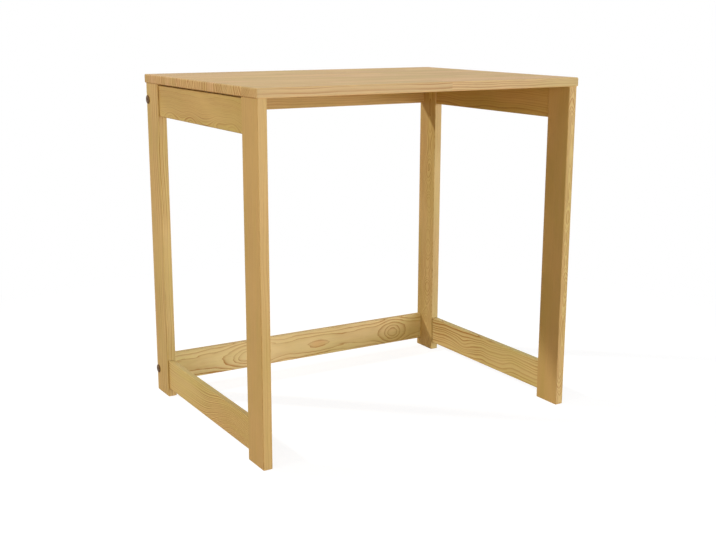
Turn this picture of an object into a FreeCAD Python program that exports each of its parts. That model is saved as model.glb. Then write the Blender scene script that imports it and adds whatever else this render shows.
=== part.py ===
import FreeCAD, Part
import os
import re

import Sketcher

# A plain pine desk for self-assembly. Each side is a glued frame of two legs, an apron and a lower
# rail. Two rear rails join the frames: a bolt goes through the leg into a barrel nut in the rail, and
# dowels beside it keep the rail from turning. The panel top sits on the leg ends over four dowels and
# is held down by angle brackets.
# Millimetres. +X is to the right, +Y to the back, +Z up. The origin is on the floor under the middle
# of the top. LEFT and FRONT are the negative sides.

SIZES = {
    # The whole desk
    "top_length": 800,
    "top_depth": 600,
    "desk_height": 772,
    # Panel top
    "top_thickness": 20,
    "top_edge_radius": 3,
    "side_overhang": 2.5,
    "front_overhang": 2.5,
    "rear_overhang": 3.5,
    # Boards of the frame
    "leg_thickness": 21,
    "leg_width": 71,
    "rail_thickness": 14,
    "rail_height": 71,
    "board_edge_radius": 2,
    "side_rail_setback": 3.5,
    "rear_rail_setback": 2.5,
    "apron_gap": 2.5,
    "lower_rail_clearance": 20,
    # Dowels in the rail joints
    "dowel_diameter": 6,
    "dowel_length": 36,
    "dowel_spacing": 40,
    "side_dowel_in_leg": 18,
    "rear_dowel_in_leg": 12,
    # Dowels between the legs and the top
    "top_dowel_diameter": 8,
    "top_dowel_length": 30,
    "top_dowel_in_leg": 19,
    # What all dowels share
    "dowel_chamfer": 0.8,
    "dowel_fit": 0.1,
    "glue_room": 0.8,
    # Furniture bolts
    "bolt_diameter": 6,
    "bolt_length": 66,
    "bolt_tip_chamfer": 1,
    "bolt_head_diameter": 20,
    "bolt_head_thickness": 2.2,
    "bolt_head_rounding": 1.5,
    "bolt_socket_width": 4,
    "bolt_socket_depth": 2,
    "bolt_hole_clearance": 1,
    "bolt_hole_room": 3,
    # Barrel nuts
    "nut_diameter": 10,
    "nut_length": 10,
    "nut_chamfer": 0.6,
    "nut_slot_width": 1.4,
    "nut_slot_depth": 1.2,
    "nut_setback": 34,
    "nut_fit": 0.1,
    "thread_fit": 0.1,
    # Angle brackets
    "bracket_leg": 20,
    "bracket_width": 16,
    "bracket_thickness": 2,
    "bracket_bend_radius": 1,
    "bracket_corner_radius": 3,
    "bracket_hole_distance": 12,
    "bracket_hole_diameter": 4,
    "rear_bracket_spacing": 400,
    # Bracket screws
    "screw_diameter": 3.5,
    "screw_length": 12,
    "screw_tip_chamfer": 1.5,
    "screw_head_diameter": 7,
    "screw_head_thickness": 2.2,
    "screw_head_rounding": 1.6,
    "screw_fit": 0.1,
    "screw_room": 0.5,
}

# Places that several pieces share, worked out from the sizes
LEG_TOP = "(desk_height - top_thickness)"
LEG_X = "(top_length / 2 - side_overhang - leg_thickness / 2)"
FRONT_LEG_Y = "(front_overhang + leg_width / 2 - top_depth / 2)"
REAR_LEG_Y = "(top_depth / 2 - rear_overhang - leg_width / 2)"
SIDE_RAIL_X = "(top_length / 2 - side_overhang - side_rail_setback - rail_thickness / 2)"
SIDE_RAIL_Y = f"(({FRONT_LEG_Y} + {REAR_LEG_Y}) / 2)"
SIDE_RAIL_LENGTH = f"({REAR_LEG_Y} - {FRONT_LEG_Y} - leg_width)"
REAR_RAIL_Y = "(top_depth / 2 - rear_overhang - rear_rail_setback - rail_thickness / 2)"
REAR_RAIL_LENGTH = f"(2 * {LEG_X} - leg_thickness)"
APRON_FOOT = f"({LEG_TOP} - apron_gap - rail_height)"
LOWER_RAIL_FOOT = "(lower_rail_clearance)"
RAIL_FEET = {"apron": APRON_FOOT, "lower_rail": LOWER_RAIL_FOOT}
BOLT_LEVELS = {"upper": APRON_FOOT, "lower": LOWER_RAIL_FOOT}
NUT_X = f"({REAR_RAIL_LENGTH} / 2 - nut_setback)"
SCREW_HOLE_DEPTH = "screw_length - bracket_thickness + screw_room"

# Heights in a rail's own frame, which starts at its lower edge
RAIL_MIDDLE = "(rail_height / 2)"
DOWEL_HEIGHTS = [f"({RAIL_MIDDLE} {sign} dowel_spacing / 2)" for sign in "-+"]
BRACKET_SCREW_HEIGHT = "(rail_height + apron_gap - bracket_hole_distance)"

LEFT, RIGHT = -1, 1
FRONT, REAR = -1, 1
SIDES = {"left": LEFT, "right": RIGHT}
ENDS = {"front": FRONT, "rear": REAR}
# How near two values count as the same
ROUNDING = 1e-6
Y_AXIS = FreeCAD.Vector(0, 1, 0)
Z_AXIS = FreeCAD.Vector(0, 0, 1)

doc = FreeCAD.newDocument("Desk")
parts = []


def add_sheet():
    """The driving sizes, one row each: a name, a plain number, and the name again as the alias."""
    sheet = doc.addObject("Spreadsheet::Sheet", "Sizes")
    for row, (name, value) in enumerate(SIZES.items(), start=1):
        sheet.set(f"A{row}", name)
        sheet.set(f"B{row}", str(value))
        sheet.setAlias(f"B{row}", name)
    doc.recompute()


def formula(text):
    """An expression over the sheet's names, from a text that uses the bare names."""
    return re.sub(r"\b[a-z]+_[a-z_]+", lambda name: f"Sizes.{name[0]}", text)


def signed(sign, text):
    """The text's value, turned over where the sign is negative."""
    return text if sign > 0 else f"-{text}"


def new_body(label):
    """An empty body that becomes the node of that name."""
    body = doc.addObject("PartDesign::Body", label)
    body.Label = label
    parts.append(body)
    return body


def place(body, x="0", y="0", z="0", axis=Z_AXIS, angle=0):
    """Turn the body about an axis through its own origin, and bind its place to the sheet."""
    body.Placement = FreeCAD.Placement(FreeCAD.Vector(), FreeCAD.Rotation(axis, angle))
    for coordinate, text in (("x", x), ("y", y), ("z", z)):
        body.setExpression(f"Placement.Base.{coordinate}", formula(text))


def origin_plane(body, role):
    return next(feature for feature in body.Origin.OriginFeatures if feature.Role == role)


def sketch_on(body, role, height="0"):
    """A sketch on an origin plane, moved along its normal: +Z on XY, -Y on XZ and +X on YZ."""
    sketch = body.newObject("Sketcher::SketchObject", "Sketch")
    sketch.AttachmentSupport = [(origin_plane(body, role), "")]
    sketch.MapMode = "FlatFace"
    sketch.setExpression("AttachmentOffset.Base.z", formula(height))
    return sketch


def bind(sketch, kind, geometry, text):
    """A dimension of the sketch that follows the sheet."""
    value = sketch.evalExpression(formula(text))
    index = sketch.addConstraint(Sketcher.Constraint(kind, *geometry, value))
    sketch.setExpression(f"Constraints[{index}]", formula(text))


def draw_circles(sketch, centres, diameter):
    """Equal circles at the given places of the sketch."""
    for x, y in centres:
        circle = sketch.addGeometry(Part.Circle(FreeCAD.Vector(), Z_AXIS, 1))
        bind(sketch, "DistanceX", (-1, 1, circle, 3), x)
        bind(sketch, "DistanceY", (-1, 1, circle, 3), y)
        bind(sketch, "Diameter", (circle,), diameter)


def draw_rectangle(sketch, left, right, bottom, top):
    """A rectangle between two places across and two places up the sketch."""
    west, east, south, north = (sketch.evalExpression(formula(text)) for text in (left, right, bottom, top))
    corners = [(west, south), (east, south), (east, north), (west, north)]
    points = [FreeCAD.Vector(x, y, 0) for x, y in corners]
    lines = [sketch.addGeometry(Part.LineSegment(points[i], points[(i + 1) % 4])) for i in range(4)]
    for i, line in enumerate(lines):
        sketch.addConstraint(Sketcher.Constraint("Coincident", line, 2, lines[(i + 1) % 4], 1))
        sketch.addConstraint(Sketcher.Constraint("Vertical" if i % 2 else "Horizontal", line))
    bind(sketch, "DistanceX", (-1, 1, lines[0], 1), left)
    bind(sketch, "DistanceX", (-1, 1, lines[2], 1), right)
    bind(sketch, "DistanceY", (-1, 1, lines[0], 1), bottom)
    bind(sketch, "DistanceY", (-1, 1, lines[2], 1), top)


def pad(body, sketch, length, both_ways=False, backwards=False):
    """Material along the sketch's normal, both ways from it, or against the normal."""
    feature = body.newObject("PartDesign::Pad", "Pad")
    feature.Profile = sketch
    feature.SideType = "Symmetric" if both_ways else "One side"
    feature.Reversed = backwards
    feature.setExpression("Length", formula(length))
    doc.recompute()


def pocket(body, sketch, depth=None, along_normal=False):
    """A cut against the sketch's normal or along it, to a depth or, with none given, right through."""
    volume_before = body.Shape.Volume
    feature = body.newObject("PartDesign::Pocket", "Pocket")
    feature.Profile = sketch
    feature.Reversed = along_normal
    if depth is None:
        feature.Type = "ThroughAll"
    else:
        feature.setExpression("Length", formula(depth))
    doc.recompute()
    if not body.Shape.Volume < volume_before:
        raise RuntimeError(f"a pocket of {body.Label} cuts nothing")


def drill(body, role, height, centres, diameter, depth=None, along_normal=False):
    """Equal round holes from one plane of the body."""
    sketch = sketch_on(body, role, height)
    draw_circles(sketch, centres, diameter)
    pocket(body, sketch, depth, along_normal)


def dress_edges(body, kind, size, chosen):
    """Round (Fillet) or break (Chamfer) the edges of the body that the test chooses."""
    base = body.Tip
    edges = [f"Edge{number}" for number, edge in enumerate(base.Shape.Edges, start=1) if chosen(edge)]
    feature = body.newObject(f"PartDesign::{kind}", kind)
    feature.Base = (base, edges)
    feature.setExpression("Radius" if kind == "Fillet" else "Size", formula(size))
    doc.recompute()


def same(one, other):
    return abs(one - other) < ROUNDING


def runs_along(axis):
    """A test for straight edges along X, Y or Z, given as 0, 1 or 2."""

    def chosen(edge):
        straight = edge.Curve.TypeId == "Part::GeomLine"
        return straight and same(abs(edge.tangentAt(edge.FirstParameter)[axis]), 1)

    return chosen


def ring_at(axis, text, diameter):
    """A test for whole circles of a diameter, centred at a place along X, Y or Z."""
    place_along = doc.Sizes.evalExpression(formula(text))
    radius = doc.Sizes.evalExpression(formula(diameter)) / 2

    def chosen(edge):
        right_size = is_ring(edge) and same(edge.Curve.Radius, radius)
        return right_size and same(edge.Curve.Center[axis], place_along)

    return chosen


def is_ring(edge):
    return edge.Curve.TypeId == "Part::GeomCircle"


def make_top():
    """Panel top: eased on every edge, with dowel holes and screw holes in its underside."""
    body = new_body("table_top")
    place(body, z=LEG_TOP)
    outline = sketch_on(body, "XY_Plane")
    draw_rectangle(outline, "-top_length / 2", "top_length / 2", "-top_depth / 2", "top_depth / 2")
    pad(body, outline, "top_thickness")
    dress_edges(body, "Fillet", "top_edge_radius", lambda edge: True)
    dowel_depth = "top_dowel_length - top_dowel_in_leg + glue_room"
    drill(body, "XY_Plane", "0", leg_centres(), "top_dowel_diameter + dowel_fit", dowel_depth,
          along_normal=True)
    screw_x = f"({SIDE_RAIL_X} - rail_thickness / 2 - bracket_hole_distance)"
    screw_y = f"({REAR_RAIL_Y} - rail_thickness / 2 - bracket_hole_distance)"
    screws = [(signed(side, screw_x), SIDE_RAIL_Y) for side in SIDES.values()]
    screws += [(signed(side, "rear_bracket_spacing / 2"), screw_y) for side in SIDES.values()]
    drill(body, "XY_Plane", "0", screws, "screw_diameter + screw_fit", SCREW_HOLE_DEPTH, along_normal=True)


def leg_centres():
    """Where the middles of the four legs stand on the floor."""
    return [(signed(side, LEG_X), y) for side in SIDES.values() for y in (FRONT_LEG_Y, REAR_LEG_Y)]


def make_leg(side_name, end_name):
    """Leg board: square at the top, eased elsewhere, with the holes of the joints that meet it."""
    side, end = SIDES[side_name], ENDS[end_name]
    body = new_body(f"{end_name}_{side_name}_leg")
    place(body, signed(side, LEG_X), FRONT_LEG_Y if end == FRONT else REAR_LEG_Y)
    section = sketch_on(body, "XY_Plane")
    draw_rectangle(section, "-leg_thickness / 2", "leg_thickness / 2", "-leg_width / 2", "leg_width / 2")
    pad(body, section, LEG_TOP)
    half_way_up = doc.Sizes.evalExpression(formula(f"{LEG_TOP} / 2"))
    dress_edges(body, "Fillet", "board_edge_radius", lambda edge: edge.BoundBox.ZMin < half_way_up)
    drill(body, "XY_Plane", LEG_TOP, [("0", "0")], "top_dowel_diameter + dowel_fit",
          "top_dowel_in_leg + glue_room")
    rail_x = signed(side, "(leg_thickness / 2 - side_rail_setback - rail_thickness / 2)")
    dowels = [(rail_x, f"{foot} + {height}") for foot in RAIL_FEET.values() for height in DOWEL_HEIGHTS]
    drill(body, "XZ_Plane", signed(end, "(leg_width / 2)"), dowels, "dowel_diameter + dowel_fit",
          "side_dowel_in_leg + glue_room", along_normal=end == FRONT)
    if end == REAR:
        drill_for_rear_rails(body, side)


def drill_for_rear_rails(body, side):
    """Blind dowel holes in a rear leg's inner face, and the bolt holes right through the leg."""
    inner_face = signed(-side, "(leg_thickness / 2)")
    rail_y = "(leg_width / 2 - rear_rail_setback - rail_thickness / 2)"
    dowels = [(rail_y, f"{foot} + {height}") for foot in RAIL_FEET.values() for height in DOWEL_HEIGHTS]
    bolts = [(rail_y, f"{foot} + {RAIL_MIDDLE}") for foot in RAIL_FEET.values()]
    outwards = side == RIGHT
    drill(body, "YZ_Plane", inner_face, dowels, "dowel_diameter + dowel_fit",
          "rear_dowel_in_leg + glue_room", outwards)
    drill(body, "YZ_Plane", inner_face, bolts, "bolt_diameter + bolt_hole_clearance", along_normal=outwards)


def make_side_rail(side_name, rail_name):
    """Rail of a side frame, front to back between its legs, and the dowels in its two ends."""
    side = SIDES[side_name]
    where = {"x": signed(side, SIDE_RAIL_X), "y": SIDE_RAIL_Y, "z": RAIL_FEET[rail_name]}
    rail = new_body(f"{side_name}_{rail_name}")
    place(rail, **where)
    section = sketch_on(rail, "XZ_Plane")
    draw_rectangle(section, "-rail_thickness / 2", "rail_thickness / 2", "0", "rail_height")
    pad(rail, section, SIDE_RAIL_LENGTH, both_ways=True)
    dress_edges(rail, "Fillet", "board_edge_radius", runs_along(1))
    dowels = new_body(f"{side_name}_{rail_name}_dowels")
    place(dowels, **where)
    centres = [("0", height) for height in DOWEL_HEIGHTS]
    for end in ENDS.values():
        drill(rail, "XZ_Plane", signed(-end, f"({SIDE_RAIL_LENGTH} / 2)"), centres,
              "dowel_diameter + dowel_fit", "dowel_length - side_dowel_in_leg + glue_room", end == REAR)
        pegs = sketch_on(dowels, "XZ_Plane", signed(-end, f"({SIDE_RAIL_LENGTH} / 2 + side_dowel_in_leg)"))
        draw_circles(pegs, centres, "dowel_diameter")
        pad(dowels, pegs, "dowel_length", backwards=end == FRONT)
    dress_edges(dowels, "Chamfer", "dowel_chamfer", is_ring)
    if rail_name == "apron":
        drill(rail, "YZ_Plane", signed(-side, "(rail_thickness / 2)"), [("0", BRACKET_SCREW_HEIGHT)],
              "screw_diameter + screw_fit", SCREW_HOLE_DEPTH, along_normal=side == RIGHT)


def make_rear_rail(rail_name):
    """Rail between the rear legs: dowels and a bolt hole in each end, barrel nut holes in its back."""
    where = {"y": REAR_RAIL_Y, "z": RAIL_FEET[rail_name]}
    rail = new_body(f"rear_{rail_name}")
    place(rail, **where)
    section = sketch_on(rail, "YZ_Plane")
    draw_rectangle(section, "-rail_thickness / 2", "rail_thickness / 2", "0", "rail_height")
    pad(rail, section, REAR_RAIL_LENGTH, both_ways=True)
    dress_edges(rail, "Fillet", "board_edge_radius", runs_along(0))
    dowels = new_body(f"rear_{rail_name}_dowels")
    place(dowels, **where)
    centres = [("0", height) for height in DOWEL_HEIGHTS]
    for side in SIDES.values():
        end_face = signed(side, f"({REAR_RAIL_LENGTH} / 2)")
        drill(rail, "YZ_Plane", end_face, centres, "dowel_diameter + dowel_fit",
              "dowel_length - rear_dowel_in_leg + glue_room", along_normal=side == LEFT)
        drill(rail, "YZ_Plane", end_face, [("0", RAIL_MIDDLE)], "bolt_diameter + bolt_hole_clearance",
              "bolt_length - leg_thickness + bolt_hole_room", along_normal=side == LEFT)
        pegs = sketch_on(dowels, "YZ_Plane", signed(side, f"({REAR_RAIL_LENGTH} / 2 + rear_dowel_in_leg)"))
        draw_circles(pegs, centres, "dowel_diameter")
        pad(dowels, pegs, "dowel_length", backwards=side == RIGHT)
    dress_edges(dowels, "Chamfer", "dowel_chamfer", is_ring)
    nuts = [(signed(side, NUT_X), RAIL_MIDDLE) for side in SIDES.values()]
    drill(rail, "XZ_Plane", "-rail_thickness / 2", nuts, "nut_diameter + nut_fit",
          "(rail_thickness + nut_length) / 2", along_normal=True)
    if rail_name == "apron":
        screws = [(signed(side, "rear_bracket_spacing / 2"), BRACKET_SCREW_HEIGHT) for side in SIDES.values()]
        drill(rail, "XZ_Plane", "rail_thickness / 2", screws, "screw_diameter + screw_fit", SCREW_HOLE_DEPTH)


def make_top_dowels():
    """One dowel in the end of each leg, standing up into the top."""
    body = new_body("top_dowels")
    place(body)
    pegs = sketch_on(body, "XY_Plane", f"{LEG_TOP} - top_dowel_in_leg")
    draw_circles(pegs, leg_centres(), "top_dowel_diameter")
    pad(body, pegs, "top_dowel_length")
    dress_edges(body, "Chamfer", "dowel_chamfer", is_ring)


def make_bolt(side_name, level_name):
    """Furniture bolt: a wide domed head with a hexagon socket, drawn along Z from under its head."""
    side = SIDES[side_name]
    body = new_body(f"{level_name}_{side_name}_bolt")
    outer_face = signed(side, f"({LEG_X} + leg_thickness / 2)")
    place(body, outer_face, REAR_RAIL_Y, f"{BOLT_LEVELS[level_name]} + {RAIL_MIDDLE}", Y_AXIS, -90 * side)
    shank = sketch_on(body, "XY_Plane")
    draw_circles(shank, [("0", "0")], "bolt_diameter")
    pad(body, shank, "bolt_length")
    dress_edges(body, "Chamfer", "bolt_tip_chamfer", ring_at(2, "bolt_length", "bolt_diameter"))
    head = sketch_on(body, "XY_Plane")
    draw_circles(head, [("0", "0")], "bolt_head_diameter")
    pad(body, head, "bolt_head_thickness", backwards=True)
    crown = ring_at(2, "-bolt_head_thickness", "bolt_head_diameter")
    dress_edges(body, "Fillet", "bolt_head_rounding", crown)
    volume_before = body.Shape.Volume
    socket = body.newObject("PartDesign::SubtractivePrism", "Socket")
    socket.AttachmentSupport = [(origin_plane(body, "XY_Plane"), "")]
    socket.MapMode = "FlatFace"
    socket.setExpression("AttachmentOffset.Base.z", formula("-bolt_head_thickness"))
    socket.Polygon = 6
    socket.setExpression("Circumradius", formula("bolt_socket_width / sqrt(3)"))
    socket.setExpression("Height", formula("bolt_socket_depth"))
    doc.recompute()
    if not body.Shape.Volume < volume_before:
        raise RuntimeError(f"the socket of {body.Label} cuts nothing")


def make_barrel_nut(side_name, level_name):
    """Barrel nut across the rail: a cross hole for the bolt, and a slot in its back to turn it in line."""
    body = new_body(f"{level_name}_{side_name}_barrel_nut")
    place(body, signed(SIDES[side_name], NUT_X), REAR_RAIL_Y, f"{BOLT_LEVELS[level_name]} + {RAIL_MIDDLE}")
    section = sketch_on(body, "XZ_Plane")
    draw_circles(section, [("0", "0")], "nut_diameter")
    pad(body, section, "nut_length", both_ways=True)
    dress_edges(body, "Chamfer", "nut_chamfer", is_ring)
    slot = sketch_on(body, "XZ_Plane", "-nut_length / 2")
    draw_rectangle(slot, "-nut_diameter / 2", "nut_diameter / 2", "-nut_slot_width / 2", "nut_slot_width / 2")
    pocket(body, slot, "nut_slot_depth", along_normal=True)
    drill(body, "YZ_Plane", "nut_diameter / 2", [("0", "0")], "bolt_diameter + thread_fit")


def make_bracket(name, x, y, angle):
    """Angle bracket and its two screws, drawn with the bend at the origin and the free leg along +X."""
    bracket = new_body(f"{name}_bracket")
    place(bracket, x, y, LEG_TOP, Z_AXIS, angle)
    upright = sketch_on(bracket, "XZ_Plane")
    draw_rectangle(upright, "0", "bracket_thickness", "-bracket_leg", "0")
    pad(bracket, upright, "bracket_width", both_ways=True)
    flat = sketch_on(bracket, "XZ_Plane")
    draw_rectangle(flat, "0", "bracket_leg", "-bracket_thickness", "0")
    pad(bracket, flat, "bracket_width", both_ways=True)
    leg = doc.Sizes.evalExpression(formula("bracket_leg"))
    thickness = doc.Sizes.evalExpression(formula("bracket_thickness"))
    across = runs_along(1)
    for size, at in (("bracket_bend_radius", thickness), ("bracket_bend_radius + bracket_thickness", 0)):
        dress_edges(bracket, "Fillet", size, lambda edge: (
            across(edge) and same(edge.BoundBox.XMax, at) and same(edge.BoundBox.ZMax, -at)))
    dress_edges(bracket, "Fillet", "bracket_corner_radius", lambda edge: (
        runs_along(0)(edge) and same(edge.BoundBox.ZMin, -leg)
        or runs_along(2)(edge) and same(edge.BoundBox.XMax, leg)))
    flat_hole, upright_hole = [("bracket_hole_distance", "0")], [("0", "-bracket_hole_distance")]
    drill(bracket, "XY_Plane", "0", flat_hole, "bracket_hole_diameter")
    drill(bracket, "YZ_Plane", "0", upright_hole, "bracket_hole_diameter", along_normal=True)
    screws = new_body(f"{name}_bracket_screws")
    place(screws, x, y, LEG_TOP, Z_AXIS, angle)
    make_screw(screws, "XY_Plane", flat_hole, "-bracket_thickness", into_normal=True)
    make_screw(screws, "YZ_Plane", upright_hole, "bracket_thickness", into_normal=False)


def make_screw(body, role, centre, seat, into_normal):
    """Round-head screw on a seat plane, its shank along the plane's normal or against it."""
    axis = "XYZ".index("Z" if role == "XY_Plane" else "X")
    forward = 1 if into_normal else -1
    shank = sketch_on(body, role, seat)
    draw_circles(shank, centre, "screw_diameter")
    pad(body, shank, "screw_length", backwards=not into_normal)
    tip = ring_at(axis, f"{seat} + {signed(forward, '(screw_length)')}", "screw_diameter")
    dress_edges(body, "Chamfer", "screw_tip_chamfer", tip)
    head = sketch_on(body, role, seat)
    draw_circles(head, centre, "screw_head_diameter")
    pad(body, head, "screw_head_thickness", backwards=into_normal)
    crown = ring_at(axis, f"{seat} + {signed(-forward, '(screw_head_thickness)')}", "screw_head_diameter")
    dress_edges(body, "Fillet", "screw_head_rounding", crown)


def make_brackets():
    """One bracket at the middle of each side apron, and two on the rear apron."""
    side_face = f"({SIDE_RAIL_X} - rail_thickness / 2)"
    rear_face = f"({REAR_RAIL_Y} - rail_thickness / 2)"
    for side_name, side in SIDES.items():
        make_bracket(side_name, signed(side, side_face), SIDE_RAIL_Y, 0 if side == LEFT else 180)
        make_bracket(f"rear_{side_name}", signed(side, "(rear_bracket_spacing / 2)"), rear_face, -90)


def check_and_export():
    """Every feature has to be sound before any piece is written."""
    doc.recompute()
    failed = [item.Name for item in doc.Objects if {"Invalid", "Error"} & set(item.State)]
    if failed:
        raise RuntimeError(f"features that failed: {failed}")
    bad = [body.Label for body in parts if body.Shape.isNull() or not body.Shape.isValid()]
    if bad:
        raise RuntimeError(f"pieces without a sound shape: {bad}")
    os.makedirs("parts", exist_ok=True)
    for body in parts:
        body.Shape.exportStep(f"parts/{body.Label}.step")
        print(f"{body.Label}: {len(body.Shape.Solids)} solids, {body.Shape.Volume:.0f} mm3")


add_sheet()
make_top()
for end_name in ENDS:
    for side_name in SIDES:
        make_leg(side_name, end_name)
for rail_name in RAIL_FEET:
    for side_name in SIDES:
        make_side_rail(side_name, rail_name)
    make_rear_rail(rail_name)
make_top_dowels()
for level_name in BOLT_LEVELS:
    for side_name in SIDES:
        make_bolt(side_name, level_name)
        make_barrel_nut(side_name, level_name)
make_brackets()
check_and_export()
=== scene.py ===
import math
from dataclasses import dataclass, replace

import bpy
import numpy as np
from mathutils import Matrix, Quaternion, Vector


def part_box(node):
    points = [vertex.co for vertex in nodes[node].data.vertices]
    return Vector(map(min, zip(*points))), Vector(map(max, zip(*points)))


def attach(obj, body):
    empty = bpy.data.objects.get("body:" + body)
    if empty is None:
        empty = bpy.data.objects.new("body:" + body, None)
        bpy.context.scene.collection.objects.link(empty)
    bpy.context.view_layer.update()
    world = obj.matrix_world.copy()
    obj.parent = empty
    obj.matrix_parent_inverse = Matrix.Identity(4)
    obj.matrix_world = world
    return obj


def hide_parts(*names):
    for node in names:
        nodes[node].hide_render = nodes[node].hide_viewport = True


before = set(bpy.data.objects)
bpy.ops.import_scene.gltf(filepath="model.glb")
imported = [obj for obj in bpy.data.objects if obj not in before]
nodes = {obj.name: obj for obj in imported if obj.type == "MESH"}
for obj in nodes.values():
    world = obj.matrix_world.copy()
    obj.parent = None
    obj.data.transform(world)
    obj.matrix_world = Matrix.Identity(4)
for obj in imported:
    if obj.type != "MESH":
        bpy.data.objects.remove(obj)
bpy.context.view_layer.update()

# A pine desk: a glued panel on two side frames of flat boards, which two rear rails join with
# furniture bolts. Every length is in metres unless its name says otherwise.
MM = 0.001
X, Y, Z = range(3)
X_AXIS = Vector((1, 0, 0))
Y_AXIS = Vector((0, 1, 0))
Z_AXIS = Vector((0, 0, 1))

# Camera
CAMERA_PLACE = Vector((-1.3048, -2.1848, 0.9026))
CAMERA_AIM = Vector((0.0035, 0.0, 0.3152))
CAMERA_ROLL = math.radians(0.143)
CAMERA_LENS_MM = 55.14
SENSOR_WIDTH_MM = 36.0


# Shader wiring

MIX_FACTOR = 0
MIX_FIRST = 6
MIX_SECOND = 7
MIX_RESULT = 2


class Wire:
    """What runs out of one socket. Arithmetic on it adds Math nodes to its tree."""

    def __init__(self, wiring, socket):
        self.wiring = wiring
        self.socket = socket

    def other(self, output):
        """Another output of the same node."""
        return Wire(self.wiring, self.socket.node.outputs[output])

    def math(self, operation, *values):
        return self.wiring.node("Math", {"operation": operation}, dict(enumerate(values)))

    def __add__(self, other):
        return self.math("ADD", self, other)

    def __radd__(self, other):
        return self.math("ADD", other, self)

    def __sub__(self, other):
        return self.math("SUBTRACT", self, other)

    def __rsub__(self, other):
        return self.math("SUBTRACT", other, self)

    def __mul__(self, other):
        return self.math("MULTIPLY", self, other)

    def __rmul__(self, other):
        return self.math("MULTIPLY", other, self)

    def __truediv__(self, other):
        return self.math("DIVIDE", self, other)

    def __rtruediv__(self, other):
        return self.math("DIVIDE", other, self)

    def __abs__(self):
        return self.math("ABSOLUTE", self)

    def sqrt(self):
        return self.math("SQRT", self)

    def exp(self):
        return self.math("EXPONENT", self)

    def cos(self):
        return self.math("COSINE", self)

    def sin(self):
        return self.math("SINE", self)

    def floor(self):
        return self.math("FLOOR", self)

    def fract(self):
        return self.math("FRACT", self)

    def at_least(self, other):
        return self.math("MAXIMUM", self, other)

    def rise(self, low, high):
        """0 below low and 1 above high, with a smooth step between them."""
        sockets = {"Value": self, "From Min": low, "From Max": high}
        return self.wiring.node("MapRange", {"interpolation_type": "SMOOTHSTEP"}, sockets)


class Wiring:
    """The node tree of a material or of the world."""

    def __init__(self, owner):
        owner.use_nodes = True
        self.tree = owner.node_tree

    def node(self, kind, settings=None, sockets=None, output=0):
        """Adds a node: its settings are set first, then each socket gets its value or its wire."""
        made = self.tree.nodes.new("ShaderNode" + kind)
        for name, value in (settings or {}).items():
            setattr(made, name, value)
        for key, value in (sockets or {}).items():
            self.plug(made.inputs[key], value)
        return Wire(self, made.outputs[output])

    def plug(self, socket, value):
        if isinstance(value, Wire):
            self.tree.links.new(value.socket, socket)
        else:
            socket.default_value = value

    def coordinates(self):
        """The Object coordinates, as one wire."""
        return self.node("TexCoord").other("Object")

    def place(self):
        """The three Object coordinates, as wires."""
        return self.split(self.coordinates())

    def facing(self):
        """The three components of the surface's own direction, as wires."""
        return self.split(self.node("TexCoord").other("Normal"))

    def split(self, vector):
        """The three components of a vector, as wires."""
        first = self.node("SeparateXYZ", sockets={"Vector": vector})
        return first, first.other("Y"), first.other("Z")

    def noise(self, point, rates, detail=2.0):
        """Smooth noise from 0 to 1 about 0.5 at a point of three wires. The rates say how fast it
        changes along each of the three, per metre."""
        steps = [wire * rate for wire, rate in zip(point, rates)]
        place = self.node("CombineXYZ", sockets=dict(enumerate(steps)))
        sockets = {"Vector": place, "Scale": 1.0, "Detail": detail}
        return self.node("TexNoise", {"noise_dimensions": "3D"}, sockets)

    def noise_along(self, value):
        """Smooth noise from 0 to 1 about 0.5 on one value."""
        sockets = {"W": value, "Scale": 1.0, "Detail": 1.0}
        return self.node("TexNoise", {"noise_dimensions": "1D"}, sockets)

    def chance(self, value):
        """Three random values that stay the same for the same whole number."""
        drawn = self.node("TexWhiteNoise", {"noise_dimensions": "1D"}, {"W": value}).other("Color")
        first = self.node("SeparateColor", sockets={"Color": drawn})
        return first, first.other("Green"), first.other("Blue")

    def mix(self, factor, first, second, blend="MIX"):
        """Two colours mixed by a factor."""
        sockets = {MIX_FACTOR: factor, MIX_FIRST: first, MIX_SECOND: second}
        return self.node("Mix", {"data_type": "RGBA", "blend_type": blend}, sockets, MIX_RESULT)

    def dot(self, first, second):
        """The dot product of two lists of three wires."""
        arrows = [self.node("CombineXYZ", sockets=dict(enumerate(wires))) for wires in (first, second)]
        return self.node("VectorMath", {"operation": "DOT_PRODUCT"}, dict(enumerate(arrows)), "Value")

    def scaled(self, colour, value):
        """A colour made lighter or darker by a value."""
        return self.node("VectorMath", {"operation": "SCALE"}, {"Vector": colour, "Scale": value})


def finish_named(name, sockets):
    """A new material: sockets holds the shader's constants. Returns it with its wiring."""
    material = bpy.data.materials.new(name)
    wiring = Wiring(material)
    coat_on(wiring, sockets)
    return material, wiring


def coat_on(wiring, sockets):
    """Sets or wires sockets of the material's own shader."""
    shader = wiring.tree.nodes["Principled BSDF"]
    for key, value in sockets.items():
        wiring.plug(shader.inputs[key], value)


def linear(red, green, blue):
    """A colour given as screen values from 0 to 255, as the linear colour that a socket takes."""
    screen = np.array([red, green, blue]) / 255
    light = np.where(screen <= 0.04045, screen / 12.92, ((screen + 0.055) / 1.055) ** 2.4)
    return (*light.tolist(), 1.0)


# Pine

EARLYWOOD = linear(207, 181, 121)
LATEWOOD = linear(168, 120, 62)
ROSY_TINT = (1.02, 0.96, 1.10, 1.0)
OLIVE_TINT = (0.96, 0.99, 0.88, 1.0)
BLUSH_TINT = (1.0, 0.80, 0.70, 1.0)
BOARD_ROSY = 0.5
OLIVE_SHARE = 0.8

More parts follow.
